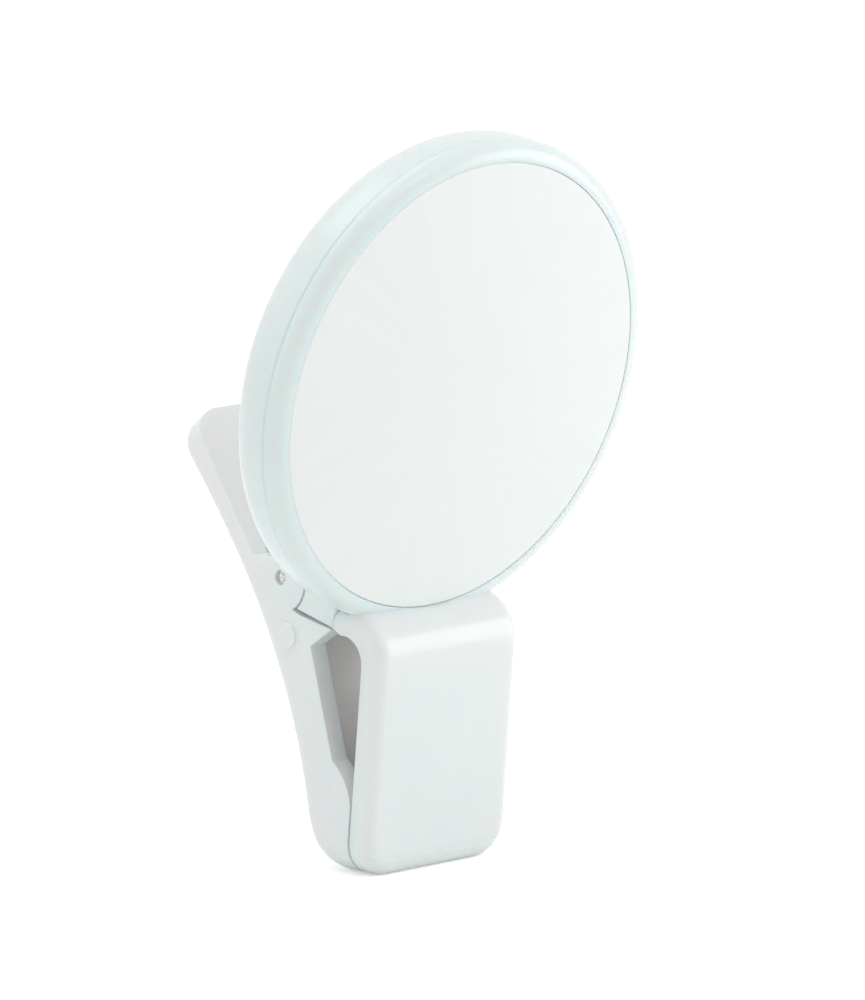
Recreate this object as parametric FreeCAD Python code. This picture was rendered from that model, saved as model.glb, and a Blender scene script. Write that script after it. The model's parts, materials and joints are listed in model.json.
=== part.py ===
import FreeCAD, Part
import math
import os

# Clip-on fill light for a telephone: a round light head on a spring clip.
# Millimetres. +Z up, the light faces -Y, +X to the right as its front is looked at.
# The head's centre, on its seam, is the point that everything is measured from here, and
# the finished pieces are moved so that the origin lies under the middle, where it stands.

V = FreeCAD.Vector

# Light head. Depth is counted backwards from the seam between bezel and rear shell.
head_radius = 32.0
head_tilt = 11.5
bevel_radius = 2.2
seam_step = 0.15
seam_groove = 0.25
rear_depth = 7.4
rear_rounding = 4.8
shell_wall = 1.5
lip_wall = 1.1
lip_depth = 1.5
fit_gap = 0.1

# Frosted front
bezel_width = 2.6
diffuser_radius = head_radius - bezel_width
diffuser_thickness = 1.6
diffuser_crown = 0.35
ledge_width = 1.65
ledge_thickness = 1.0

# Board and what sits on it
board_inset = 8.4
board_radius = head_radius - board_inset
board_thickness = 1.0
board_front = 1.4
led_count = 8
led_inset = 7.6
led_ring_radius = board_radius - led_inset
led_length = 3.5
led_width = 2.8
led_height = 0.7
reflector_thickness = 0.5
reflector_lift = 0.1
chip_inset = 6.6
chip_side_step = 7.0
resistor_inset = 9.6
resistor_length = 1.6
resistor_width = 0.8
resistor_pitch = 1.7

# Coin cells, side by side behind the board
cell_radius = 10.0
cell_height = 3.2
cell_spacing = 20.8
cell_front = 2.6
bay_gap = 0.3
bay_wall = 1.0
contact_thickness = 0.3
leaf_thickness = 0.2
leaf_length = 6.0
leaf_width = 3.0
strip_length = 30.0
strip_width = 5.0

# Battery door
door_flange = 0.8
door_margin = 1.4
door_tab_width = 6.0
door_tab_reach = 1.4
door_tab_thickness = 0.8
door_screw_inset = 2.0
screw_offset = cell_radius + bay_gap - door_screw_inset

# Push button
button_lift = 6.3
button_height = cell_radius + bay_gap + door_margin + button_lift
button_radius = 3.5
button_flange = 0.8
button_flange_thickness = 0.8
button_proud = 0.6
button_gap = 0.3
button_crown = 0.3
stem_radius = 1.3
switch_side = 5.0
switch_height = 1.6
plunger_radius = 1.1
plunger_proud = 0.6
plunger_gap = 0.1

# Screws
screw_head_radius = 1.7
screw_head_height = 0.8
screw_shank_radius = 0.85
screw_gap = 0.05
boss_radius = 2.1
post_gap = 0.25
housing_screw_inset = 6.0
housing_screw_ring = head_radius - housing_screw_inset
board_screw_inset = 2.1
board_screw_ring = board_radius - board_screw_inset
slot_width = 0.5
slot_depth = 0.4

# Clip. A drop is counted downwards from the head's centre.
clip_width = 25.0
bend_below_rim = 2.6
bend_drop = head_radius + bend_below_rim
jaw_length = 28.15
foot_drop = bend_drop + jaw_length
jaw_thickness = 3.25
jaw_lean = 5.3
jaw_corner = 4.7
jaw_middle_drop = bend_drop + 6.5
jaw_middle_front = 0.5
bend_radius = 6.0
bend_thickening = 0.6
neck_seam_depth = 2.1
edge_rounding = 1.9
moving_gap = 0.35
pin_back = 17.95
pin_above_rim = 6.05
pin_drop = head_radius - pin_above_rim
neck_front_drop = pin_drop + 5.1
neck_back_drop = pin_drop + 3.95
neck_back = pin_back - 3.45
pin_radius = 0.97
pin_gap = 0.03
pin_recess = 0.5
ear_radius = 2.9
ear_inner = 4.2
lug_radius = 4.4
cheek = 2.6
toe_length = 2.8
tip_height = 9.15
tip_drop = foot_drop - tip_height
skin = 2.6
paddle_corner = 4.4
paddle_back = (pin_back + 20.15, 16.2 - pin_drop)
paddle_front = (pin_back + 16.55, 19.2 - pin_drop)
paddle_waist = (pin_back + 8.65, 1.55 - pin_drop)
paddle_lean = 34.6
lug_shoulder = (pin_back + 4.85, 2.2 - pin_drop)
jaw_heel = (13.9, 7.35 - foot_drop)
cheek_low = (8.5, 14.55 - foot_drop)
cheek_high = (pin_back - 5.55, -8.05 - pin_drop)
boss_spot_radius = 1.7
boss_spot_height = 0.35
boss_spot_place = (pin_back - 1.25, -7.2 - pin_drop)

# Torsion spring
wire_radius = 0.45
coil_radius = 2.0
coil_whole_turns = 5
coil_pitch = 1.05
front_leg_angle = 122
front_leg_length = 7.0
back_leg_angle = 55
back_leg_length = 8.6

# Grip pads
pad_thickness = 1.0
pad_proud = 0.05
pad_side = 3.0
pad_foot_gap = 2.5
pad_bend_gap = 3.4
rear_pad_foot_gap = 2.2
rear_pad_tip_gap = 1.0

# Distances of the finished frame
middle_back = 14.57

half_width = clip_width / 2
beyond = foot_drop + head_radius
jaw_slope = math.tan(math.radians(jaw_lean))
os.makedirs("parts", exist_ok=True)


def export(name, shape):
    """Stand the piece on the origin and write it."""
    placed = shape.copy()
    placed.translate(V(0, -middle_back, foot_drop))
    placed.exportStep("parts/" + name + ".step")


def outline(start, steps):
    """Closed wire in the YZ plane: a step is a point, or (point on the arc, end)."""
    edges = []
    here = V(0, *start)
    for step in steps + [start]:
        if isinstance(step[0], tuple):
            end = V(0, *step[1])
            edges.append(Part.Arc(here, V(0, *step[0]), end).toShape())
        else:
            end = V(0, *step)
            if here.distanceToPoint(end) > 1e-6:
                edges.append(Part.makeLine(here, end))
        here = end
    return Part.Wire(edges)


def slab(wire, low, high):
    """Solid between two X values from a closed wire in the YZ plane."""
    solid = Part.Face(wire).extrude(V(high - low, 0, 0))
    solid.translate(V(low, 0, 0))
    return solid


def turned(start, steps):
    """Solid of revolution about the head's axis: points are (radius, depth)."""
    edges = []
    here = V(start[0], start[1], 0)
    for step in steps + [start]:
        if isinstance(step[0], tuple):
            end = V(step[1][0], step[1][1], 0)
            middle = V(step[0][0], step[0][1], 0)
            edges.append(Part.Arc(here, middle, end).toShape())
        else:
            end = V(step[0], step[1], 0)
            if here.distanceToPoint(end) > 1e-6:
                edges.append(Part.makeLine(here, end))
        here = end
    face = Part.Face(Part.Wire(edges))
    return face.revolve(V(0, 0, 0), V(0, 1, 0), 360)


def column(radius, front, back, x=0.0, up=0.0):
    """Round column along the head's axis between two depths."""
    return Part.makeCylinder(radius, back - front, V(x, front, up), V(0, 1, 0))


def block(x0, x1, front, back, low, high):
    """Box in the head's own axes."""
    return Part.makeBox(x1 - x0, back - front, high - low, V(x0, front, low))


def stadium(half_length, radius, front, back):
    """Long round-ended plate along X in the head's own axes."""
    middle = half_length - radius
    body = block(-middle, middle, front, back, -radius, radius)
    left = column(radius, front, back, -middle)
    right = column(radius, front, back, middle)
    return body.fuse([left, right]).removeSplitter()


def lean(shape):
    """Turn a piece of the head from its own axes to its tilt."""
    shape.rotate(V(0, 0, 0), V(1, 0, 0), head_tilt)
    return shape


def around(radius, angle):
    """Point (x, up) on a ring about the head's axis."""
    turn = math.radians(angle)
    return radius * math.cos(turn), radius * math.sin(turn)


def arc_point(radius, centre, angle):
    """Point of a circle given by its centre, in the outline's own two numbers."""
    turn = math.radians(angle)
    return centre[0] + radius * math.cos(turn), centre[1] + radius * math.sin(turn)


def screw(front, back, x, up, head_front):
    """Pan-head screw along the head's axis, its slot across the head."""
    if head_front:
        head = column(screw_head_radius, front, front + screw_head_height, x, up)
        slot_at = front
    else:
        head = column(screw_head_radius, back - screw_head_height, back, x, up)
        slot_at = back - slot_depth
    shank = column(screw_shank_radius, front, back, x, up)
    slot = block(x - screw_head_radius, x + screw_head_radius, slot_at, slot_at + slot_depth,
                 up - slot_width / 2, up + slot_width / 2)
    return head.fuse(shank).cut(slot)


# Places that follow from the sizes
inner_radius = head_radius - seam_step - shell_wall
cavity_back = rear_depth - shell_wall
board_back = board_front + board_thickness
face_front = -bevel_radius
diffuser_back = face_front + diffuser_thickness
bay_half = cell_spacing / 2 + cell_radius + bay_gap
bay_round = cell_radius + bay_gap
cell_back = cell_front + cell_height
door_inner = cell_back + contact_thickness
door_step = rear_depth - door_flange
pin_point = (pin_back, -pin_drop)
housing_angles = [90, 210, 330]
board_angles = [45, 135, 270]


def head_plane(depth, z):
    """Y of the plane at a depth behind the seam, at a height."""
    return (depth - math.sin(math.radians(head_tilt)) * z) / math.cos(math.radians(head_tilt))


def jaw_face(z):
    """Y of the front jaw's outer face."""
    return jaw_middle_front - (z + jaw_middle_drop) * jaw_slope


def bezel_ring():
    """Bevelled bezel with the ledge for the diffuser and the lip for the rear shell."""
    opening = diffuser_radius + fit_gap / 2
    bevel_centre = (head_radius - bevel_radius, 0)
    ledge = opening - ledge_width
    lip_outer = inner_radius - fit_gap
    ledge_back = diffuser_back + ledge_thickness
    return turned(
        (head_radius - seam_groove, 0),
        [(head_radius, -seam_groove),
         (arc_point(bevel_radius, bevel_centre, -48), (head_radius - bevel_radius, face_front)),
         (opening, face_front), (opening, diffuser_back), (ledge, diffuser_back),
         (ledge, ledge_back), (lip_outer - lip_wall, ledge_back + 0.4),
         (lip_outer - lip_wall, lip_depth), (lip_outer, lip_depth), (lip_outer, 0)])


def front_jaw():
    """Bent plate: a roof that comes forward under the head and a jaw that hangs from it."""
    bottom = -foot_drop
    bend_y = jaw_face(-bend_drop) + bend_radius * math.cos(math.radians(jaw_lean))
    bend = (bend_y, -bend_drop)
    inner_radius = bend_radius - jaw_thickness + bend_thickening
    inner_bend = (bend[0] + bend_thickening, bend[1] - bend_thickening)
    roof_top = bend[1] + bend_radius
    side = outline(
        arc_point(bend_radius, bend, 180 + jaw_lean),
        [(arc_point(bend_radius, bend, 135), arc_point(bend_radius, bend, 90)),
         (head_plane(neck_seam_depth, roof_top), roof_top),
         (head_plane(neck_seam_depth, -neck_front_drop), -neck_front_drop),
         arc_point(inner_radius, inner_bend, 82),
         (arc_point(inner_radius, inner_bend, 132),
          arc_point(inner_radius, inner_bend, 180 + jaw_lean)),
         (jaw_inner(bottom), bottom), (jaw_face(bottom), bottom)])
    return slab(side, -half_width, half_width), side


def rounded_front(bottom, top):
    """Prism along Y whose low corners are rounded as the clip looks from the front."""
    body = Part.makeBox(clip_width, 2 * beyond, top - bottom, V(-half_width, -beyond, bottom))
    low = [e for e in body.Edges if is_along_y(e) and e.CenterOfMass.z < bottom + 0.01]
    return body.makeFillet(jaw_corner, low)


def is_along_y(edge):
    if edge.Curve.TypeId != "Part::GeomLine":
        return False
    return abs(edge.Curve.Direction.y) > 0.999


def is_along_x(edge):
    if edge.Curve.TypeId != "Part::GeomLine":
        return False
    return abs(edge.Curve.Direction.x) > 0.999


def round_skin(solid, skin_wire, radius, keep):
    """Round the edges that lie on a curved skin, apart from those across the width."""
    sheet = skin_wire.extrude(V(2 * clip_width, 0, 0))
    sheet.translate(V(-clip_width, 0, 0))
    chosen = []
    for edge in solid.Edges:
        middle = edge.valueAt((edge.FirstParameter + edge.LastParameter) / 2)
        near = Part.Vertex(middle).distToShape(sheet)[0] < 0.02
        if near and keep(edge, middle):
            chosen.append(edge)
    return solid.makeFillet(radius, chosen)


def front_housing():
    """Bezel and front jaw in one moulding."""
    jaw, side = front_jaw()
    jaw = jaw.common(rounded_front(-foot_drop, 0))
    outer = Part.Wire([side.Edges[-1], side.Edges[0], side.Edges[1]])
    bottom = -foot_drop

    def keep(edge, middle):
        if is_along_x(edge):
            return middle.z < bottom + 0.01
        return True

    jaw = round_skin(jaw, outer, edge_rounding, keep)
    opening = diffuser_radius + fit_gap / 2
    outer_room = head_radius + fit_gap
    room = lean(turned((0, -beyond), [(opening, -beyond), (opening, 0), (outer_room, 0),
                                      (outer_room, beyond), (0, beyond)]))
    ring = bezel_ring()
    for angle in housing_angles:
        x, up = around(housing_screw_ring, angle)
        post = column(boss_radius, diffuser_back, cavity_back - post_gap, x, up)
        rib = block(housing_screw_ring, inner_radius - 1.3, diffuser_back, lip_depth, -0.8, 0.8)
        rib.rotate(V(0, 0, 0), V(0, 1, 0), -angle)
        ring = ring.fuse([post, rib])
        ring = ring.cut(column(screw_shank_radius + screw_gap, 1.0, cavity_back + 1, x, up))
    ring = lean(ring)
    body = jaw.cut(room).fuse(ring)
    pocket = jaw_pad(0)
    return body.cut(pocket).removeSplitter()


def jaw_inner(z):
    """Y of the front jaw's inner face."""
    return jaw_face(z) + jaw_thickness / math.cos(math.radians(jaw_lean))


def jaw_pad(grow):
    """Grip pad let into the front jaw's inner face."""
    low = -foot_drop + pad_foot_gap
    high = -bend_drop - pad_bend_gap
    front = pad_thickness - pad_proud
    wire = outline((jaw_inner(low) - front, low),
                   [(jaw_inner(low) + pad_proud, low), (jaw_inner(high) + pad_proud, high),
                    (jaw_inner(high) - front, high)])
    return slab(wire, -half_width + pad_side + grow, half_width - pad_side - grow)


def diffuser():
    """Frosted front, very slightly domed."""
    crown = face_front - diffuser_crown
    half = diffuser_radius / 2
    bulge = face_front - diffuser_crown * 0.75
    disc = turned((0, crown), [((half, bulge), (diffuser_radius - 0.15, face_front)),
                               (diffuser_radius, face_front + 0.15),
                               (diffuser_radius, diffuser_back - 0.02), (0, diffuser_back - 0.02)])
    return lean(disc)


def rear_cavity():
    """Room inside the rear shell."""
    round_in = rear_rounding - shell_wall
    centre = (inner_radius - round_in, cavity_back - round_in)
    return turned((0, -1), [(inner_radius, -1), (inner_radius, centre[1]),
                            (arc_point(round_in, centre, 45), (centre[0], cavity_back)),
                            (0, cavity_back)])


def rear_dish():
    """Outer form of the rear shell."""
    outer = head_radius - seam_step
    centre = (outer - rear_rounding, rear_depth - rear_rounding)
    return turned((0, 0), [(outer - seam_groove, 0), (outer, seam_groove), (outer, centre[1]),
                           (arc_point(rear_rounding, centre, 45), (centre[0], rear_depth)),
                           (0, rear_depth)])


def neck():
    """Block under the head that carries the pivot, with a hollow back for the lugs."""
    reach = lug_radius + moving_gap
    top = -pin_drop + 0.2
    y, z = pin_point
    low_angle = math.degrees(math.atan2(-neck_back_drop - z, neck_back - y))
    wire = outline((head_plane(neck_seam_depth, top), top),
                   [(head_plane(neck_seam_depth, -neck_front_drop), -neck_front_drop),
                    arc_point(reach, pin_point, low_angle),
                    (arc_point(reach, pin_point, 195), arc_point(reach, pin_point, 165)),
                    (head_plane(rear_depth / 2, top + 4), top + 4)])
    return slab(wire, -half_width, half_width)


def ears():
    """Two ears behind the head that hold the pin."""
    y, z = pin_point
    upper = arc_point(ear_radius, pin_point, 110)
    lower = arc_point(ear_radius, pin_point, 235)
    root_top = -pin_drop + 8
    wire = outline((head_plane(rear_depth - 1.0, root_top), root_top),
                   [upper, (arc_point(ear_radius, pin_point, 0), lower),
                    (neck_back - 0.9, -neck_back_drop), (neck_back - 4.4, 0.4 - neck_front_drop),
                    (head_plane(shell_wall * 2, -pin_drop + 2), -pin_drop + 2)])
    outer = half_width - cheek - moving_gap
    left = slab(wire, -outer, -ear_inner)
    right = slab(wire, ear_inner, outer)
    hole = Part.makeCylinder(pin_radius + pin_gap, clip_width, V(-half_width, y, z), V(1, 0, 0))
    return left.cut(hole), right.cut(hole)


def rear_housing():
    """Rear shell, neck, ears, battery bay and bosses in one moulding."""
    left, right = ears()
    body = lean(rear_dish()).fuse([neck(), left, right])
    body = body.cut(lean(rear_cavity()))
    room = lean(turned((0, -beyond), [(beyond, -beyond), (beyond, 0), (0, 0)]))
    body = body.cut(room)
    inside = stadium(bay_half + bay_wall, bay_round + bay_wall, board_back + 0.1, cavity_back)
    parts = [inside]
    for angle in board_angles:
        x, up = around(board_screw_ring, angle)
        parts.append(column(boss_radius, board_back, cavity_back, x, up))
    body = body.fuse([lean(p) for p in parts])
    cuts = [stadium(bay_half, bay_round, board_back, rear_depth + 1)]
    cuts.append(stadium(bay_half + door_margin, bay_round + door_margin, door_step,
                        rear_depth + 1))
    tab = door_tab_width / 2 + fit_gap
    cuts.append(block(-tab, tab, cavity_back - door_tab_thickness - fit_gap - 0.1, cavity_back,
                      -bay_round - bay_wall - 0.1, -bay_round + 0.5))
    cuts.append(column(button_radius + button_gap, cavity_back - 1, rear_depth + 1, 0,
                       button_height))
    for angle in housing_angles:
        x, up = around(housing_screw_ring, angle)
        cuts.append(column(screw_head_radius + 0.15, rear_depth - screw_head_height - 0.1,
                           rear_depth + 1, x, up))
        cuts.append(column(screw_shank_radius + screw_gap, cavity_back - 1, rear_depth, x, up))
    for angle in board_angles:
        x, up = around(board_screw_ring, angle)
        cuts.append(column(screw_shank_radius + screw_gap, board_back - 1, cavity_back - 0.3,
                           x, up))
    for cut in cuts:
        body = body.cut(lean(cut))
    post = column(boss_radius, board_back + 0.1, door_inner, 0, screw_offset)
    post = post.cut(column(screw_shank_radius + screw_gap, board_back, rear_depth, 0,
                           screw_offset))
    return body.fuse(lean(post)).removeSplitter()


def reflector():
    """White tray round the LEDs, with a raised rim and holes for the screws."""
    front = board_front - reflector_lift - reflector_thickness
    rim_top = diffuser_back + ledge_thickness
    tray = turned((0, front), [(board_radius - 1.6, front), (board_radius - 0.3, rim_top),
                               (board_radius + 0.2, rim_top),
                               (board_radius - 1.0, front + reflector_thickness),
                               (0, front + reflector_thickness)])
    for number in range(led_count):
        angle = 360 / led_count * (number + 0.5)
        hole = block(led_ring_radius - led_length / 2 - 0.2, led_ring_radius + led_length / 2 + 0.2,
                     front - 0.5, board_front, -led_width / 2 - 0.2, led_width / 2 + 0.2)
        hole.rotate(V(0, 0, 0), V(0, 1, 0), -angle)
        tray = tray.cut(hole)
    for angle in board_angles:
        x, up = around(board_screw_ring, angle)
        tray = tray.cut(column(screw_head_radius + 0.3, -3, board_front, x, up))
    return lean(tray)


def led_board():
    board = column(board_radius, board_front, board_back)
    for angle in board_angles:
        x, up = around(board_screw_ring, angle)
        board = board.cut(column(screw_shank_radius + screw_gap, 0, board_back + 1, x, up))
    return lean(board)


def leds():
    """Eight flat LEDs in a ring."""
    found = []
    for number in range(led_count):
        angle = 360 / led_count * (number + 0.5)
        led = block(led_ring_radius - led_length / 2, led_ring_radius + led_length / 2,
                    board_front - led_height, board_front, -led_width / 2, led_width / 2)
        dish = Part.makeCone(led_width * 0.36, led_width * 0.28, led_height * 0.4,
                             V(led_ring_radius, board_front - led_height, 0), V(0, 1, 0))
        led = led.cut(dish)
        led.rotate(V(0, 0, 0), V(0, 1, 0), -angle)
        found.append(lean(led))
    return Part.makeCompound(found)


def controller_chip():
    """Eight-legged mode chip on the back of the board."""
    x = -switch_side / 2 - chip_side_step
    up = board_radius - chip_inset
    body = block(x - 2.4, x + 2.4, board_back + 0.15, board_back + 1.55, up - 1.95, up + 1.95)
    legs = []
    for number in range(4):
        at = x - 1.9 + number * 1.27
        legs.append(block(at - 0.2, at + 0.2, board_back, board_back + 0.3, up - 3.0, up + 3.0))
    return lean(body.fuse(legs))


def resistors():
    """Four chip resistors on the back of the board."""
    found = []
    low = board_radius - resistor_inset
    for number in range(4):
        x = switch_side / 2 + 3.1 + number * resistor_pitch
        body = block(x, x + resistor_width, board_back, board_back + 0.45,
                     low, low + resistor_length)
        found.append(lean(body))
    return Part.makeCompound(found)


def tact_switch():
    """Switch body on the board, with the well that its stem moves in."""
    back = board_back + switch_height
    body = block(-switch_side / 2, switch_side / 2, board_back, back,
                 button_height - switch_side / 2, button_height + switch_side / 2)
    well = column(plunger_radius + plunger_gap, back - 1.1, back, 0, button_height)
    return lean(body.cut(well))


def switch_plunger():
    back = board_back + switch_height
    return lean(column(plunger_radius, back - 0.45, back + plunger_proud, 0, button_height))


def mode_button():
    """Push button: crowned cap, retaining flange and the stem that meets the switch."""
    stem_front = board_back + switch_height + plunger_proud
    flange_back = cavity_back - button_gap
    flange_front = flange_back - button_flange_thickness
    outer = button_radius + button_flange
    top = rear_depth + button_proud
    cap = turned((0, stem_front), [(stem_radius, stem_front), (stem_radius, flange_front),
                                   (outer, flange_front), (outer, flange_back),
                                   (button_radius, flange_back),
                                   (button_radius, top - button_crown),
                                   (button_radius - 0.35, top), (0, top + button_crown)])
    cap.translate(V(0, 0, button_height))
    return lean(cap)


def coin_cell(side):
    """Coin cell with the step round its crimped rim."""
    cell = turned((0, cell_front), [(cell_radius - 1.2, cell_front),
                                    (cell_radius - 1.2, cell_front + 0.3),
                                    (cell_radius - 0.3, cell_front + 0.3),
                                    (cell_radius, cell_front + 0.6), (cell_radius, cell_back),
                                    (0, cell_back)])
    cell.translate(V(side * cell_spacing / 2, 0, 0))
    return lean(cell)


def cell_contacts():
    """Two leaf contacts on the board, one under each cell."""
    found = []
    for side in (-1, 1):
        x = side * cell_spacing / 2
        found.append(lean(block(x - leaf_length / 2, x + leaf_length / 2, board_back,
                                board_back + leaf_thickness, -leaf_width / 2, leaf_width / 2)))
    return Part.makeCompound(found)


def contact_bridge():
    """Strip on the door that joins the two cells."""
    return lean(block(-strip_length / 2, strip_length / 2, cell_back, door_inner,
                      -strip_width / 2, strip_width / 2))


def battery_door():
    """Long round door with a tab at one side and a screw at the other."""
    flange = stadium(bay_half + door_margin - fit_gap, bay_round + door_margin - fit_gap,
                     door_step, rear_depth)
    plug = stadium(bay_half - fit_gap, bay_round - fit_gap, door_inner, door_step)
    half = door_tab_width / 2
    low = -bay_round - door_tab_reach + 0.5
    foot = block(-half, half, cavity_back - door_tab_thickness - 0.1, door_inner + 0.01,
                 -bay_round + fit_gap, -bay_round + fit_gap + 0.8)
    tab = block(-half, half, cavity_back - door_tab_thickness - 0.1, cavity_back - 0.1,
                low, -bay_round + fit_gap + 0.8)
    door = flange.fuse([plug, foot, tab])
    door = door.cut(column(screw_head_radius + 0.15, rear_depth - screw_head_height - 0.1,
                           rear_depth + 1, 0, screw_offset))
    door = door.cut(column(screw_shank_radius + screw_gap, 0, rear_depth, 0, screw_offset))
    for number in range(5):
        groove = block(-4, 4, rear_depth - 0.3, rear_depth + 1,
                       -6.0 - number * 1.0, -5.5 - number * 1.0)
        door = door.cut(groove)
    return lean(door.removeSplitter())


def door_screw():
    return lean(screw(board_back + 0.6, rear_depth - 0.1, 0, screw_offset, False))


def housing_screws():
    found = []
    for angle in housing_angles:
        x, up = around(housing_screw_ring, angle)
        found.append(lean(screw(1.4, rear_depth - 0.1, x, up, False)))
    return Part.makeCompound(found)


def board_screws():
    found = []
    for angle in board_angles:
        x, up = around(board_screw_ring, angle)
        found.append(lean(screw(board_front - screw_head_height, cavity_back - 0.6, x, up, True)))
    return Part.makeCompound(found)


def bent_on(start, direction, end):
    """Middle point and last direction of the arc that leaves start along a direction."""
    chord = (end[0] - start[0], end[1] - start[1])
    length = math.hypot(*chord)
    first = math.atan2(direction[1], direction[0])
    across = math.atan2(chord[1], chord[0])
    half = (across - first + math.pi) % (2 * math.pi) - math.pi
    reach = length / 2 / math.cos(half / 2)
    at = first + half / 2
    middle = (start[0] + reach * math.cos(at), start[1] + reach * math.sin(at))
    last = first + 2 * half
    return middle, (math.cos(last), math.sin(last))


def lever_profile():
    """Side view of the lever, and the part of it that is the outer skin."""
    bottom = -foot_drop
    tip_low = (jaw_inner(bottom) + moving_gap, bottom)
    tip_face = (jaw_inner(-tip_drop) + moving_gap, -tip_drop)
    tip_round = (tip_face[0] + 0.35, -tip_drop + 1.7)
    toe = (tip_low[0] + toe_length, bottom)
    nose_top = -neck_front_drop - moving_gap
    nose = (head_plane(neck_seam_depth, nose_top) + 0.1, nose_top)
    under_neck = (neck_back + 0.2, -neck_back_drop - moving_gap)
    rising = (math.sin(math.radians(paddle_lean)), math.cos(math.radians(paddle_lean)))
    paddle_middle, _ = bent_on(paddle_waist, rising, paddle_back)
    middle, falling = bent_on(paddle_waist, (-rising[0], -rising[1]), jaw_heel)
    heel_middle, _ = bent_on(jaw_heel, falling, toe)
    wire = outline(
        paddle_back,
        [(paddle_middle, paddle_waist), (middle, jaw_heel), (heel_middle, toe), tip_low, tip_face,
         (tip_round, cheek_low), cheek_high, nose, under_neck,
         arc_point(lug_radius, pin_point, 240),
         (arc_point(lug_radius, pin_point, 187), arc_point(lug_radius, pin_point, 135)),
         lug_shoulder, paddle_front])
    skin_wire = Part.Wire([wire.Edges[0], wire.Edges[1], wire.Edges[2]])
    return wire, skin_wire, middle


def lever_hollow(middle):
    """Room inside the rear jaw and between the lugs, open to the front."""
    y, z = pin_point
    back = -skin * 0.93
    up = skin * 0.36
    floor = -tip_drop + 0.8
    top = paddle_waist[1] + 2
    wire = outline(
        (paddle_waist[0] + back, paddle_waist[1] + up),
        [((middle[0] + back, middle[1] + up), (jaw_heel[0] + back, floor)),
         (-10, floor), (-10, top), (lug_shoulder[0] - 0.9, top)])
    inner = half_width - cheek
    ear_room = Part.makeCylinder(ear_radius + moving_gap, 2 * inner, V(-inner, y, z), V(1, 0, 0))
    return slab(wire, -inner, inner).fuse(ear_room)


def clip_lever():
    """Thumb paddle, two round lugs and hollow rear jaw in one moulding."""
    wire, skin_wire, middle = lever_profile()
    y, z = pin_point
    body = slab(wire, -half_width, half_width)
    body = body.common(rounded_front(-foot_drop, 0))
    end_y = (paddle_back[0] + paddle_front[0]) / 2
    end_z = (paddle_back[1] + paddle_front[1]) / 2
    ends = [V(side * half_width, end_y, end_z) for side in (-1, 1)]
    corners = [e for e in body.Edges if min(e.CenterOfMass.distanceToPoint(p) for p in ends) < 0.01]
    body = body.makeFillet(paddle_corner, corners)

    def keep(edge, place):
        if is_along_x(edge):
            return place.z > paddle_back[1] - 0.01
        return True

    body = round_skin(body, skin_wire, edge_rounding, keep)
    body = body.cut(lever_hollow(middle))
    hole = Part.makeCylinder(pin_radius + pin_gap, clip_width, V(-half_width, y, z), V(1, 0, 0))
    body = body.cut(hole)
    for side in (-1, 1):
        start = V(side * (half_width - 0.5), *boss_spot_place)
        spot = Part.makeCylinder(boss_spot_radius, boss_spot_height + 0.5, start, V(side, 0, 0))
        body = body.fuse(spot)
    return body.cut(rear_pad(0)).removeSplitter()


def rear_pad(grow):
    """Grip pad let into the rear jaw's tip."""
    low = -foot_drop + rear_pad_foot_gap
    high = -tip_drop - rear_pad_tip_gap
    deep = pad_thickness + moving_gap
    wire = outline((jaw_inner(low) + moving_gap, low),
                   [(jaw_inner(low) + deep, low), (jaw_inner(high) + deep, high),
                    (jaw_inner(high) + moving_gap, high)])
    return slab(wire, -half_width + pad_side + grow, half_width - pad_side - grow)


def hinge_pin():
    """Steel pin, a shallow dimple in each end."""
    y, z = pin_point
    length = clip_width - 2 * pin_recess
    pin = Part.makeCylinder(pin_radius, length, V(-length / 2, y, z), V(1, 0, 0))
    for side_sign in (-1, 1):
        dimple = Part.makeCone(pin_radius * 0.6, 0.1, 0.45, V(side_sign * length / 2, y, z),
                               V(-side_sign, 0, 0))
        pin = pin.cut(dimple)
    return pin


def torsion_spring():
    """Coil round the pin, one leg on the head's back and one on the paddle."""
    y, z = pin_point
    first = front_leg_angle + 90
    last = back_leg_angle - 90
    length = (coil_whole_turns + (last - first) / 360) * coil_pitch
    helix = Part.makeHelix(coil_pitch, length, coil_radius)
    helix.rotate(V(0, 0, 0), V(0, 1, 0), 90)
    helix.rotate(V(0, 0, 0), V(1, 0, 0), first + 90)
    helix.translate(V(-length / 2, y, z))
    path = helix.Edges[0]
    start = path.valueAt(path.FirstParameter)
    ring = Part.makeCircle(wire_radius, start, path.tangentAt(path.FirstParameter))
    coil = Part.Wire(helix.Edges).makePipeShell([Part.Wire([ring])], True, True)
    parts = []
    legs = [(-length / 2, first, front_leg_angle, front_leg_length),
            (length / 2, last, back_leg_angle, back_leg_length)]
    for x, at, angle, reach in legs:
        foot = arc_point(coil_radius, pin_point, at)
        end = arc_point(reach, foot, angle)
        direction = V(0, end[0] - foot[0], end[1] - foot[1])
        parts.append(Part.makeCylinder(wire_radius, reach, V(x, *foot), direction))
        parts.append(Part.makeSphere(wire_radius, V(x, *foot)))
        parts.append(Part.makeSphere(wire_radius, V(x, *end)))
    return coil.fuse(parts).removeSplitter()


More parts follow.
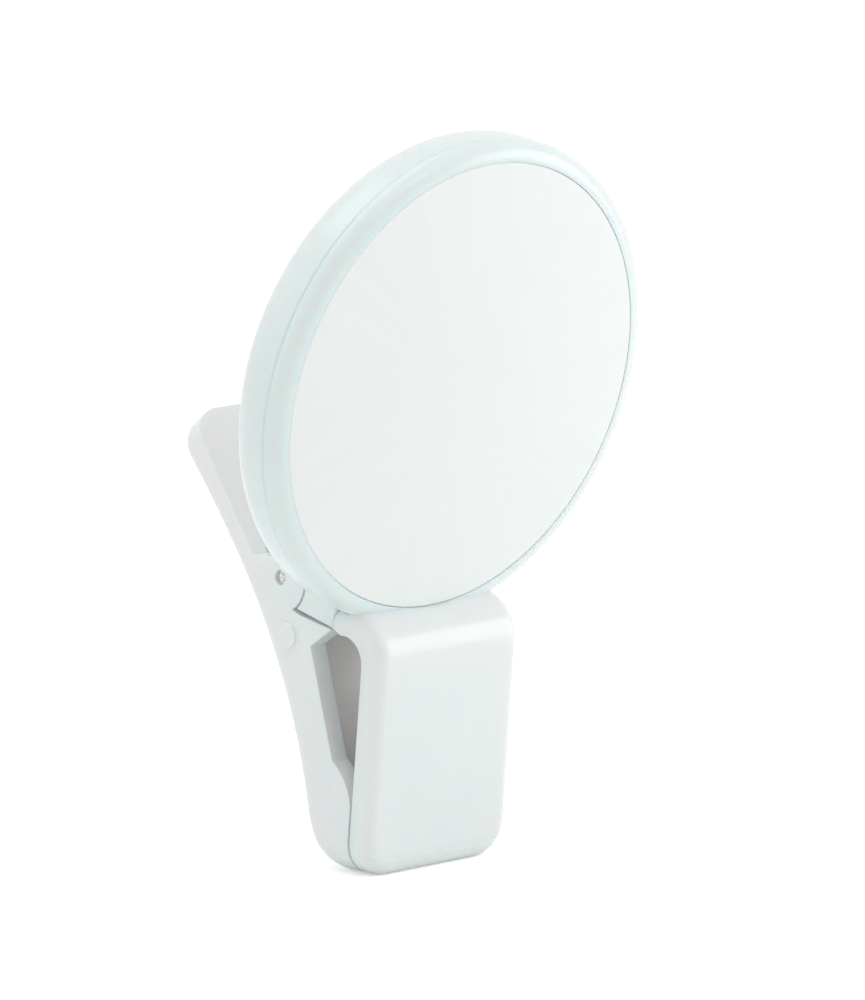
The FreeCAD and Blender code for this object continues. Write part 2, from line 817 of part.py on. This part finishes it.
def build():
    export("front_housing", front_housing())
    export("diffuser", diffuser())
    export("rear_housing", rear_housing())
    export("reflector", reflector())
    export("led_board", led_board())
    export("leds", leds())
    export("controller_chip", controller_chip())
    export("resistors", resistors())
    export("tact_switch", tact_switch())
    export("switch_plunger", switch_plunger())
    export("mode_button", mode_button())
    export("coin_cell_left", coin_cell(-1))
    export("coin_cell_right", coin_cell(1))
    export("cell_contacts", cell_contacts())
    export("contact_bridge", contact_bridge())
    export("battery_door", battery_door())
    export("door_screw", door_screw())
    export("housing_screws", housing_screws())
    export("board_screws", board_screws())
    export("clip_lever", clip_lever())
    export("hinge_pin", hinge_pin())
    export("torsion_spring", torsion_spring())
    export("front_jaw_pad", jaw_pad(fit_gap))
    export("rear_jaw_pad", rear_pad(fit_gap))


build()
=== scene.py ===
import bpy
import json
import math
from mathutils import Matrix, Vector


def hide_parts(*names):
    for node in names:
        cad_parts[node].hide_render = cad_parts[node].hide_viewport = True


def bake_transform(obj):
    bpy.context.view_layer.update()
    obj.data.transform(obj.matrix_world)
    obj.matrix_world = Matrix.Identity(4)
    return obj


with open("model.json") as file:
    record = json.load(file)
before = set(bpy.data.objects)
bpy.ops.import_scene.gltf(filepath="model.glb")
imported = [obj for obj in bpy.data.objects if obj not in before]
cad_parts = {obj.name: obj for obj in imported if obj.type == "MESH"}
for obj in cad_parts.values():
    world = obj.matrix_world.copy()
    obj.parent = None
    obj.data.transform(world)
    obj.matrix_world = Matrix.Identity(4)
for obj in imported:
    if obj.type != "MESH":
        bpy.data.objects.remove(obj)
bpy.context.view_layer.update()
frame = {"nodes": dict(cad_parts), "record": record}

NODES = frame["nodes"]
HEAD_CENTRE = Vector((0.0, -0.01457, 0.06275))
HEAD_TILT = math.radians(11.5)

# Camera, worked out from the photograph's outlines
LENS = 430.1
CAMERA_TURN = math.radians(-44.24)
CAMERA_RISE = math.radians(10.18)
CAMERA_DISTANCE = 1.5
CAMERA_AIM = HEAD_CENTRE + Vector((-0.00308, 0, -0.01487))

# Room and lamps
ROOM_LIGHT = 0.52
TABLE_GLOW = 0.4
TABLE_SIZE = 6
LIGHT_MIDDLE = (0, -0.014, 0.05)
FACE_MIDDLE = (0, -0.017, 0.063)

# Distance under which the spring's doubled vertices are welded
WELD_DISTANCE = 0.000001

for piece in bpy.context.selected_objects:
    piece.select_set(False)


def make_camera():
    """Camera at the photograph's angle, with no shift."""
    data = bpy.data.cameras.new("camera")
    data.lens = LENS
    data.sensor_width = 36
    data.sensor_fit = "AUTO"
    data.clip_start = 0.1
    data.clip_end = 20
    camera = bpy.data.objects.new("camera", data)
    bpy.context.scene.collection.objects.link(camera)
    towards = Vector((math.sin(CAMERA_TURN) * math.cos(CAMERA_RISE),
                      -math.cos(CAMERA_TURN) * math.cos(CAMERA_RISE), math.sin(CAMERA_RISE)))
    camera.location = CAMERA_AIM + towards * CAMERA_DISTANCE
    camera.rotation_mode = "QUATERNION"
    camera.rotation_quaternion = (-towards).to_track_quat("-Z", "Y")
    bpy.context.scene.camera = camera


# Node helpers
def add_node(tree, kind, place, **values):
    """A node of a kind at a place in the editor; values set its properties or its inputs."""
    node = tree.nodes.new(kind)
    node.location = (place[0] * 200, place[1] * -180)
    for name, value in values.items():
        if hasattr(node, name):
            setattr(node, name, value)
        else:
            node.inputs[name.replace("_", " ")].default_value = value
    return node


def join(tree, source, socket, target, entry):
    tree.links.new(source.outputs[socket], target.inputs[entry])


def start_group(name, entries, exits):
    """An empty node group with named inputs (name, kind, value) and outputs (name, kind)."""
    tree = bpy.data.node_groups.new(name, "ShaderNodeTree")
    for label, kind, value in entries:
        socket = tree.interface.new_socket(label, in_out="INPUT", socket_type=kind)
        socket.default_value = value
    for label, kind in exits:
        tree.interface.new_socket(label, in_out="OUTPUT", socket_type=kind)
    source = add_node(tree, "NodeGroupInput", (0, 0))
    target = add_node(tree, "NodeGroupOutput", (9, 0))
    return tree, source, target


FLOAT = "NodeSocketFloat"
COLOUR = "NodeSocketColor"


def group_moulded_colour():
    """Plastic colour that drifts between two tones, with a faint fine speckle."""
    tree, source, target = start_group(
        "moulded_colour",
        [("Light", COLOUR, (1, 1, 1, 1)), ("Deep", COLOUR, (0.8, 0.8, 0.8, 1)),
         ("Cloud Size", FLOAT, 60.0), ("Speckle", FLOAT, 0.15)],
        [("Colour", COLOUR)])
    place = add_node(tree, "ShaderNodeTexCoord", (0, 2))
    cloud = add_node(tree, "ShaderNodeTexNoise", (2, 0), Detail=3.0, Roughness=0.5, Distortion=0.4)
    speck = add_node(tree, "ShaderNodeTexNoise", (2, 2), Scale=2600.0, Detail=1.0)
    spread = add_node(tree, "ShaderNodeMapRange", (3, 0), From_Min=0.3, From_Max=0.7)
    amount = add_node(tree, "ShaderNodeMath", (4, 2), operation="MULTIPLY")
    total = add_node(tree, "ShaderNodeMath", (5, 1), operation="ADD", use_clamp=True)
    blend = add_node(tree, "ShaderNodeMix", (7, 0), data_type="RGBA")
    join(tree, place, "Object", cloud, "Vector")
    join(tree, place, "Object", speck, "Vector")
    join(tree, source, "Cloud Size", cloud, "Scale")
    join(tree, cloud, "Fac", spread, "Value")
    join(tree, speck, "Fac", amount, 0)
    join(tree, source, "Speckle", amount, 1)
    join(tree, spread, "Result", total, 0)
    join(tree, amount, "Value", total, 1)
    join(tree, total, "Value", blend, "Factor")
    tree.links.new(source.outputs["Deep"], blend.inputs[6])
    tree.links.new(source.outputs["Light"], blend.inputs[7])
    tree.links.new(blend.outputs[2], target.inputs["Colour"])
    return tree


def group_mould_grain():
    """Fine spark-eroded grain over the slow waviness of a moulded wall."""
    tree, source, target = start_group(
        "mould_grain",
        [("Grain Size", FLOAT, 3500.0), ("Grain", FLOAT, 0.5), ("Waviness", FLOAT, 0.5)],
        [("Height", FLOAT)])
    place = add_node(tree, "ShaderNodeTexCoord", (0, 2))
    grain = add_node(tree, "ShaderNodeTexNoise", (2, 0), Detail=2.0, Roughness=0.6)
    wave = add_node(tree, "ShaderNodeTexNoise", (2, 2), Scale=140.0, Detail=1.0)
    fine = add_node(tree, "ShaderNodeMath", (4, 0), operation="MULTIPLY")
    slow = add_node(tree, "ShaderNodeMath", (4, 2), operation="MULTIPLY")
    total = add_node(tree, "ShaderNodeMath", (6, 1), operation="ADD")
    join(tree, place, "Object", grain, "Vector")
    join(tree, place, "Object", wave, "Vector")
    join(tree, source, "Grain Size", grain, "Scale")
    join(tree, grain, "Fac", fine, 0)
    join(tree, source, "Grain", fine, 1)
    join(tree, wave, "Fac", slow, 0)
    join(tree, source, "Waviness", slow, 1)
    join(tree, fine, "Value", total, 0)
    join(tree, slow, "Value", total, 1)
    join(tree, total, "Value", target, "Height")
    return tree


def group_handling():
    """Soft smears and a few fine rubbed lines where fingers and pockets polish the surface."""
    tree, source, target = start_group(
        "handling",
        [("Smear Size", FLOAT, 90.0), ("Smears", FLOAT, 0.5), ("Lines", FLOAT, 0.3)],
        [("Mask", FLOAT)])
    place = add_node(tree, "ShaderNodeTexCoord", (0, 2))
    smear = add_node(tree, "ShaderNodeTexNoise", (2, 0), Detail=4.0, Roughness=0.65, Distortion=1.2)
    narrow = add_node(tree, "ShaderNodeMapRange", (3, 0), From_Min=0.5, From_Max=0.78)
    stretch = add_node(tree, "ShaderNodeMapping", (2, 2), Rotation=(0.4, 0.3, 0.9),
                       Scale=(2200.0, 90.0, 110.0))
    line = add_node(tree, "ShaderNodeTexNoise", (3, 2), Scale=1.0, Detail=1.0)
    thin = add_node(tree, "ShaderNodeMapRange", (4, 2), From_Min=0.66, From_Max=0.74)
    part = add_node(tree, "ShaderNodeMath", (5, 0), operation="MULTIPLY")
    scratch = add_node(tree, "ShaderNodeMath", (5, 2), operation="MULTIPLY")
    total = add_node(tree, "ShaderNodeMath", (7, 1), operation="ADD", use_clamp=True)
    join(tree, place, "Object", smear, "Vector")
    join(tree, place, "Object", stretch, "Vector")
    join(tree, source, "Smear Size", smear, "Scale")
    join(tree, smear, "Fac", narrow, "Value")
    join(tree, stretch, "Vector", line, "Vector")
    join(tree, line, "Fac", thin, "Value")
    join(tree, narrow, "Result", part, 0)
    join(tree, source, "Smears", part, 1)
    join(tree, thin, "Result", scratch, 0)
    join(tree, source, "Lines", scratch, 1)
    join(tree, part, "Value", total, 0)
    join(tree, scratch, "Value", total, 1)
    join(tree, total, "Value", target, "Mask")
    return tree


def group_foot_painted_shade():
    """Mask for painted shade at the jaw ends: a ragged band just above the floor the light stands
    on, fading out by Band's height.
    """
    tree, source, target = start_group(
        "foot_painted_shade",
        [("Band", FLOAT, 0.003), ("Amount", FLOAT, 0.5)],
        [("Mask", FLOAT)])
    place = add_node(tree, "ShaderNodeTexCoord", (0, 0))
    parts = add_node(tree, "ShaderNodeSeparateXYZ", (1, 0))
    ragged = add_node(tree, "ShaderNodeTexNoise", (1, 2), Scale=900.0, Detail=3.0)
    lift = add_node(tree, "ShaderNodeMapRange", (3, 0), To_Min=1.0, To_Max=0.0)
    product = add_node(tree, "ShaderNodeMath", (5, 0), operation="MULTIPLY")
    scaled = add_node(tree, "ShaderNodeMath", (6, 0), operation="MULTIPLY")
    join(tree, place, "Object", parts, "Vector")
    join(tree, place, "Object", ragged, "Vector")
    join(tree, parts, "Z", lift, "Value")
    join(tree, source, "Band", lift, "From Max")
    join(tree, lift, "Result", product, 0)
    join(tree, ragged, "Fac", product, 1)
    join(tree, product, "Value", scaled, 0)
    join(tree, source, "Amount", scaled, 1)
    join(tree, scaled, "Value", target, "Mask")
    return tree


def group_head_polar():
    """Angle and radius about the light head's axis, for what runs round or out from its centre."""
    tree, source, target = start_group(
        "head_polar", [("Size", FLOAT, 0.0294)], [("Turn", FLOAT), ("Radius", FLOAT)])
    place = add_node(tree, "ShaderNodeTexCoord", (0, 1))
    centre = add_node(tree, "ShaderNodeMapping", (1, 1), vector_type="TEXTURE",
                      Location=tuple(HEAD_CENTRE), Rotation=(HEAD_TILT, 0, 0))
    parts = add_node(tree, "ShaderNodeSeparateXYZ", (2, 1))
    turn = add_node(tree, "ShaderNodeMath", (4, 0), operation="ARCTAN2")
    flat = add_node(tree, "ShaderNodeCombineXYZ", (3, 2))
    radius = add_node(tree, "ShaderNodeVectorMath", (4, 2), operation="LENGTH")
    share = add_node(tree, "ShaderNodeMath", (6, 2), operation="DIVIDE")
    join(tree, place, "Object", centre, "Vector")
    join(tree, centre, "Vector", parts, "Vector")
    join(tree, parts, "Z", turn, 0)
    join(tree, parts, "X", turn, 1)
    join(tree, parts, "X", flat, "X")
    join(tree, parts, "Z", flat, "Y")
    join(tree, flat, "Vector", radius, 0)
    join(tree, radius, "Value", share, 0)
    join(tree, source, "Size", share, 1)
    join(tree, turn, "Value", target, "Turn")
    join(tree, share, "Value", target, "Radius")
    return tree


def place_group(tree, group, place, **values):
    """A group at a place in the editor, with its own input values."""
    node = tree.nodes.new("ShaderNodeGroup")
    node.node_tree = group
    node.location = (place[0] * 200, place[1] * -180)
    for name, value in values.items():
        node.inputs[name.replace("_", " ")].default_value = value
    return node


MOULDED = group_moulded_colour()
GRAIN = group_mould_grain()
HANDLING = group_handling()
# Mask group for the painted shade at the jaw ends near the floor.
FOOT_PAINTED_SHADE = group_foot_painted_shade()
POLAR = group_head_polar()


def start_material(name, **values):
    """A material with its Principled shader; values are plain settings of the shader."""
    material = bpy.data.materials.new(name)
    material.use_nodes = True
    tree = material.node_tree
    shader = tree.nodes["Principled BSDF"]
    shader.location = (1800, 0)
    tree.nodes["Material Output"].location = (2100, 0)
    for label, value in values.items():
        shader.inputs[label.replace("_", " ")].default_value = value
    return material, tree, shader


def add_bump(tree, source, socket, shader, distance, strength=1.0):
    bump = add_node(tree, "ShaderNodeBump", (7, 3), Distance=distance, Strength=strength)
    join(tree, source, socket, bump, "Height")
    join(tree, bump, "Normal", shader, "Normal")


def moulded_plastic(name, light, deep, rough, rubbed, grain=0.5, painted_shade=0.0):
    """Glossy or satin moulded plastic with tone drift, grain, handling marks, and painted shade
    that greys and dulls the feet near the floor.
    """
    material, tree, shader = start_material(name, IOR=1.5, Subsurface_Weight=0.4,
                                            Subsurface_Scale=0.004)
    colour = place_group(tree, MOULDED, (0, 0), Light=light, Deep=deep)
    marks = place_group(tree, HANDLING, (0, 2))
    # Painted shade near the floor: this mask greys the base colour and raises the roughness at the
    # jaw ends.
    floor_shade_mask = place_group(tree, FOOT_PAINTED_SHADE, (0, 4), Amount=painted_shade)
    relief = place_group(tree, GRAIN, (0, 6), Grain=grain)
    gloss = add_node(tree, "ShaderNodeMapRange", (3, 2), To_Min=rough, To_Max=rubbed)
    dull = add_node(tree, "ShaderNodeMath", (5, 2), operation="ADD", use_clamp=True)
    floor_shaded_colour = add_node(tree, "ShaderNodeMix", (5, 0), data_type="RGBA")
    floor_shaded_colour.inputs[7].default_value = (deep[0] * 0.75, deep[1] * 0.74, deep[2] * 0.72, 1)
    join(tree, marks, "Mask", gloss, "Value")
    join(tree, gloss, "Result", dull, 0)
    join(tree, floor_shade_mask, "Mask", dull, 1)
    join(tree, floor_shade_mask, "Mask", floor_shaded_colour, "Factor")
    tree.links.new(colour.outputs["Colour"], floor_shaded_colour.inputs[6])
    tree.links.new(floor_shaded_colour.outputs[2], shader.inputs["Base Color"])
    join(tree, dull, "Value", shader, "Roughness")
    add_bump(tree, relief, "Height", shader, 0.000012)
    return material


def frosted_disc():
    """Frosted plastic: a satin face whose moulding left faint streaks out from its centre."""
    material, tree, shader = start_material("diffuser_frost", IOR=1.5)
    colour = place_group(tree, MOULDED, (0, 0), Light=(0.91, 0.945, 0.937, 1),
                         Deep=(0.895, 0.935, 0.925, 1), Cloud_Size=40.0, Speckle=0.2)
    polar = place_group(tree, POLAR, (0, 2))
    marks = place_group(tree, HANDLING, (0, 4), Smears=0.35, Lines=0.15)
    relief = place_group(tree, GRAIN, (0, 6), Grain_Size=5200.0, Grain=0.8, Waviness=0.3)
    spokes = add_node(tree, "ShaderNodeCombineXYZ", (2, 2))
    streak = add_node(tree, "ShaderNodeTexNoise", (3, 2), Scale=7.0, Detail=3.0, Roughness=0.7)
    outer = add_node(tree, "ShaderNodeMapRange", (3, 3), From_Min=0.25, From_Max=0.85)
    gather = add_node(tree, "ShaderNodeMapRange", (4, 2), From_Min=0.42, From_Max=0.72)
    shown = add_node(tree, "ShaderNodeMath", (5, 2), operation="MULTIPLY")
    tinted = add_node(tree, "ShaderNodeMix", (6, 0), data_type="RGBA")
    tinted.inputs[7].default_value = (0.95, 0.98, 0.975, 1)
    faint = add_node(tree, "ShaderNodeMath", (6, 2), operation="MULTIPLY")
    faint.inputs[1].default_value = 0.5
    gloss = add_node(tree, "ShaderNodeMapRange", (6, 4), To_Min=0.38, To_Max=0.5)
    join(tree, polar, "Turn", spokes, "X")
    join(tree, polar, "Radius", outer, "Value")
    join(tree, spokes, "Vector", streak, "Vector")
    join(tree, streak, "Fac", gather, "Value")
    join(tree, gather, "Result", shown, 0)
    join(tree, outer, "Result", shown, 1)
    join(tree, shown, "Value", faint, 0)
    join(tree, faint, "Value", tinted, "Factor")
    tree.links.new(colour.outputs["Colour"], tinted.inputs[6])
    tree.links.new(tinted.outputs[2], shader.inputs["Base Color"])
    join(tree, marks, "Mask", gloss, "Value")
    join(tree, gloss, "Result", shader, "Roughness")
    add_bump(tree, relief, "Height", shader, 0.00001)
    return material


def drawn_metal(name, light, deep, rough, lay=(40.0, 2600.0, 2600.0)):
    """Bright metal with fine drawn lines along one direction and dull handled patches."""
    material, tree, shader = start_material(name, Metallic=1.0)
    place = add_node(tree, "ShaderNodeTexCoord", (0, 2))
    along = add_node(tree, "ShaderNodeMapping", (1, 2), Scale=lay)
    lines = add_node(tree, "ShaderNodeTexNoise", (2, 2), Scale=1.0, Detail=3.0)
    colour = add_node(tree, "ShaderNodeMix", (4, 0), data_type="RGBA")
    colour.inputs[6].default_value = deep
    colour.inputs[7].default_value = light
    marks = place_group(tree, HANDLING, (2, 4), Smear_Size=300.0)
    sheen = add_node(tree, "ShaderNodeMath", (4, 2), operation="MULTIPLY_ADD")
    sheen.inputs[1].default_value = 0.2
    dull = add_node(tree, "ShaderNodeMath", (4, 4), operation="MULTIPLY_ADD")
    dull.inputs[1].default_value = 0.15
    dull.inputs[2].default_value = rough
    join(tree, place, "Object", along, "Vector")
    join(tree, along, "Vector", lines, "Vector")
    join(tree, lines, "Fac", colour, "Factor")
    join(tree, lines, "Fac", sheen, 0)
    join(tree, marks, "Mask", dull, 0)
    join(tree, dull, "Value", sheen, 2)
    tree.links.new(colour.outputs[2], shader.inputs["Base Color"])
    join(tree, sheen, "Value", shader, "Roughness")
    add_bump(tree, lines, "Fac", shader, 0.000006)
    return material


def soft_rubber():
    """Matte silicone pad, finely pebbled, with dust caught in it."""
    material, tree, shader = start_material("pad_rubber", IOR=1.42, Sheen_Weight=0.15)
    colour = place_group(tree, MOULDED, (0, 0), Light=(0.80, 0.84, 0.83, 1),
                         Deep=(0.72, 0.77, 0.76, 1), Cloud_Size=200.0, Speckle=0.35)
    relief = place_group(tree, GRAIN, (0, 4), Grain_Size=2200.0, Grain=1.0)
    marks = place_group(tree, HANDLING, (0, 2), Smears=0.6, Lines=0.1)
    gloss = add_node(tree, "ShaderNodeMapRange", (3, 2), To_Min=0.62, To_Max=0.8)
    join(tree, colour, "Colour", shader, "Base Color")
    join(tree, marks, "Mask", gloss, "Value")
    join(tree, gloss, "Result", shader, "Roughness")
    add_bump(tree, relief, "Height", shader, 0.00003)
    return material


def circuit_board():
    """Green solder mask over copper tracks that show as a faint lighter pattern."""
    material, tree, shader = start_material("board_green", IOR=1.5, Coat_Weight=0.4)
    colour = place_group(tree, MOULDED, (0, 0), Light=(0.07, 0.26, 0.14, 1),
                         Deep=(0.04, 0.18, 0.10, 1), Cloud_Size=120.0)
    place = add_node(tree, "ShaderNodeTexCoord", (0, 2))
    track = add_node(tree, "ShaderNodeTexBrick", (2, 2), Scale=260.0, Mortar_Size=0.06,
                     Mortar_Smooth=0.1, offset=0.5)
    copper = add_node(tree, "ShaderNodeMix", (5, 0), data_type="RGBA")
    copper.inputs[7].default_value = (0.10, 0.36, 0.16, 1)
    marks = place_group(tree, HANDLING, (0, 4))
    gloss = add_node(tree, "ShaderNodeMapRange", (3, 4), To_Min=0.3, To_Max=0.45)
    turned = add_node(tree, "ShaderNodeMapping", (1, 2), Rotation=(math.pi / 2, 0, 0))
    join(tree, place, "Object", turned, "Vector")
    join(tree, turned, "Vector", track, "Vector")
    join(tree, track, "Fac", copper, "Factor")
    tree.links.new(colour.outputs["Colour"], copper.inputs[6])
    tree.links.new(copper.outputs[2], shader.inputs["Base Color"])
    join(tree, marks, "Mask", gloss, "Value")
    join(tree, gloss, "Result", shader, "Roughness")
    add_bump(tree, track, "Fac", shader, 0.00002)
    return material


def make_materials():
    found = {}
    # Housing and lever get painted shade on their feet near the floor at strength 0.5.
    found["housing_white"] = moulded_plastic(
        "housing_white", (0.90, 0.94, 0.93, 1), (0.885, 0.93, 0.918, 1), 0.2, 0.3, painted_shade=0.5)
    found["lever_white"] = moulded_plastic(
        "lever_white", (0.90, 0.94, 0.93, 1), (0.88, 0.928, 0.916, 1), 0.22, 0.34, painted_shade=0.5)
    found["door_white"] = moulded_plastic(
        "door_white", (0.84, 0.89, 0.875, 1), (0.81, 0.865, 0.85, 1), 0.26, 0.4)
    found["button_white"] = moulded_plastic(
        "button_white", (0.82, 0.87, 0.86, 1), (0.77, 0.83, 0.82, 1), 0.3, 0.2, grain=0.8)
    found["tray_white"] = moulded_plastic(
        "tray_white", (0.93, 0.93, 0.92, 1), (0.90, 0.90, 0.89, 1), 0.5, 0.6)
    found["led_white"] = moulded_plastic(
        "led_white", (0.93, 0.88, 0.55, 1), (0.90, 0.82, 0.42, 1), 0.35, 0.45, grain=0.9)
    found["chip_black"] = moulded_plastic(
        "chip_black", (0.045, 0.045, 0.05, 1), (0.03, 0.03, 0.032, 1), 0.45, 0.6, grain=1.0)
    found["diffuser_frost"] = frosted_disc()
    found["board_green"] = circuit_board()
    found["pad_rubber"] = soft_rubber()
    found["steel"] = drawn_metal("steel", (0.72, 0.72, 0.73, 1), (0.58, 0.58, 0.60, 1), 0.14)
    found["cell_steel"] = drawn_metal(
        "cell_steel", (0.74, 0.74, 0.74, 1), (0.62, 0.62, 0.63, 1), 0.18, (1800.0, 1800.0, 60.0))
    found["contact_brass"] = drawn_metal(
        "contact_brass", (0.80, 0.70, 0.46, 1), (0.66, 0.57, 0.36, 1), 0.16, (60.0, 2200.0, 2200.0))
    return found


def dress_frame(materials):
    """Every CAD node gets the material of its slot in the record."""
    for part in frame["record"]["subparts"]:
        mesh = NODES[part["node"]].data
        mesh.materials.clear()
        mesh.materials.append(materials[part["material_slot"]])


def wind_spring(material):
    """Torsion spring, one leg on the head, one on the paddle: a copy of its CAD node, welded,
    smooth-shaded and given its material, with the CAD node hidden.
    """
    node = NODES["torsion_spring"]
    mesh = node.data.copy()
    mesh.name = "wound_spring"
    spring = bpy.data.objects.new("wound_spring", mesh)
    bpy.context.scene.collection.objects.link(spring)
    bpy.context.view_layer.objects.active = spring
    spring.select_set(True)
    bpy.ops.object.mode_set(mode="EDIT")
    bpy.ops.mesh.select_all(action="SELECT")
    bpy.ops.mesh.remove_doubles(threshold=WELD_DISTANCE)
    bpy.ops.mesh.select_all(action="DESELECT")
    bpy.ops.object.mode_set(mode="OBJECT")
    bpy.ops.object.shade_smooth_by_angle(angle=math.radians(40))
    spring.select_set(False)
    mesh.materials.clear()
    mesh.materials.append(material)
    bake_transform(spring)
    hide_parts("torsion_spring")


# Stage
def camera_mask(tree, place):
    """1 for rays that show the background: camera, glossy or transmission."""
    path = add_node(tree, "ShaderNodeLightPath", place)
    first = add_node(tree, "ShaderNodeMath", (place[0] + 1, place[1]), operation="MAXIMUM")
    both = add_node(tree, "ShaderNodeMath", (place[0] + 2, place[1]), operation="MAXIMUM")
    join(tree, path, "Is Camera Ray", first, 0)
    join(tree, path, "Is Glossy Ray", first, 1)
    join(tree, first, "Value", both, 0)
    join(tree, path, "Is Transmission Ray", both, 1)
    return both


def make_world():
    world = bpy.data.worlds.new("studio")
    bpy.context.scene.world = world
    world.use_nodes = True
    tree = world.node_tree
    tree.nodes.clear()
    out = add_node(tree, "ShaderNodeOutputWorld", (6, 0))
    shown = add_node(tree, "ShaderNodeBackground", (4, 0), Color=(1, 1, 1, 1), Strength=1.0)
    soft = add_node(tree, "ShaderNodeBackground", (4, 1), Color=(1, 1, 1, 1),
                    Strength=ROOM_LIGHT)
    pick = add_node(tree, "ShaderNodeMixShader", (5, 0))
    mask = camera_mask(tree, (0, 0))
    join(tree, mask, "Value", pick, 0)
    tree.links.new(soft.outputs[0], pick.inputs[1])
    tree.links.new(shown.outputs[0], pick.inputs[2])
    join(tree, pick, 0, out, 0)


def make_floor():
    """White table whose soft shadow still shows."""
    bpy.ops.mesh.primitive_plane_add(size=TABLE_SIZE, location=(0, 0, 0))
    floor = bpy.context.object
    floor.name = "floor"
    material = bpy.data.materials.new("floor_white")
    material.use_nodes = True
    tree = material.node_tree
    tree.nodes.clear()
    out = add_node(tree, "ShaderNodeOutputMaterial", (8, 0))
    paper = add_node(tree, "ShaderNodeBsdfDiffuse", (4, 0), Color=(0.93, 0.945, 0.94, 1))
    glow = add_node(tree, "ShaderNodeEmission", (4, 1), Strength=TABLE_GLOW)
    none = add_node(tree, "ShaderNodeEmission", (4, 2), Strength=0.0)
    pick = add_node(tree, "ShaderNodeMixShader", (5, 1))
    total = add_node(tree, "ShaderNodeAddShader", (6, 0))
    mask = camera_mask(tree, (0, 0))
    join(tree, mask, "Value", pick, 0)
    tree.links.new(none.outputs[0], pick.inputs[1])
    tree.links.new(glow.outputs[0], pick.inputs[2])
    tree.links.new(paper.outputs[0], total.inputs[0])
    tree.links.new(pick.outputs[0], total.inputs[1])
    tree.links.new(total.outputs[0], out.inputs[0])
    floor.data.materials.append(material)
    floor.select_set(False)


def add_softbox(name, place, aim, width, height, power):
    data = bpy.data.lights.new(name, "AREA")
    data.shape = "RECTANGLE"
    data.size = width
    data.size_y = height
    data.energy = power
    lamp = bpy.data.objects.new(name, data)
    bpy.context.scene.collection.objects.link(lamp)
    lamp.location = place
    lamp.rotation_mode = "QUATERNION"
    lamp.rotation_quaternion = (Vector(aim) - Vector(place)).to_track_quat("-Z", "Y")


def make_lights():
    """Four softboxes: position, aim, width, height and watts."""
    add_softbox("softbox_front", (0.1, -0.65, 0.68), LIGHT_MIDDLE, 0.5, 0.35, 0.72)
    add_softbox("softbox_right", (0.2, -0.16, 0.09), FACE_MIDDLE, 0.14, 0.14, 0.17)
    add_softbox("softbox_left", (-0.8, 0.2, 0.3), LIGHT_MIDDLE, 0.6, 0.6, 0.65)
    add_softbox("softbox_top", (-0.15, 0.1, 0.9), LIGHT_MIDDLE, 0.8, 0.8, 2.8)


bpy.context.scene.view_settings.view_transform = "Standard"
make_camera()
make_world()
make_floor()
make_lights()
finishes = make_materials()
dress_frame(finishes)
wind_spring(finishes["steel"])
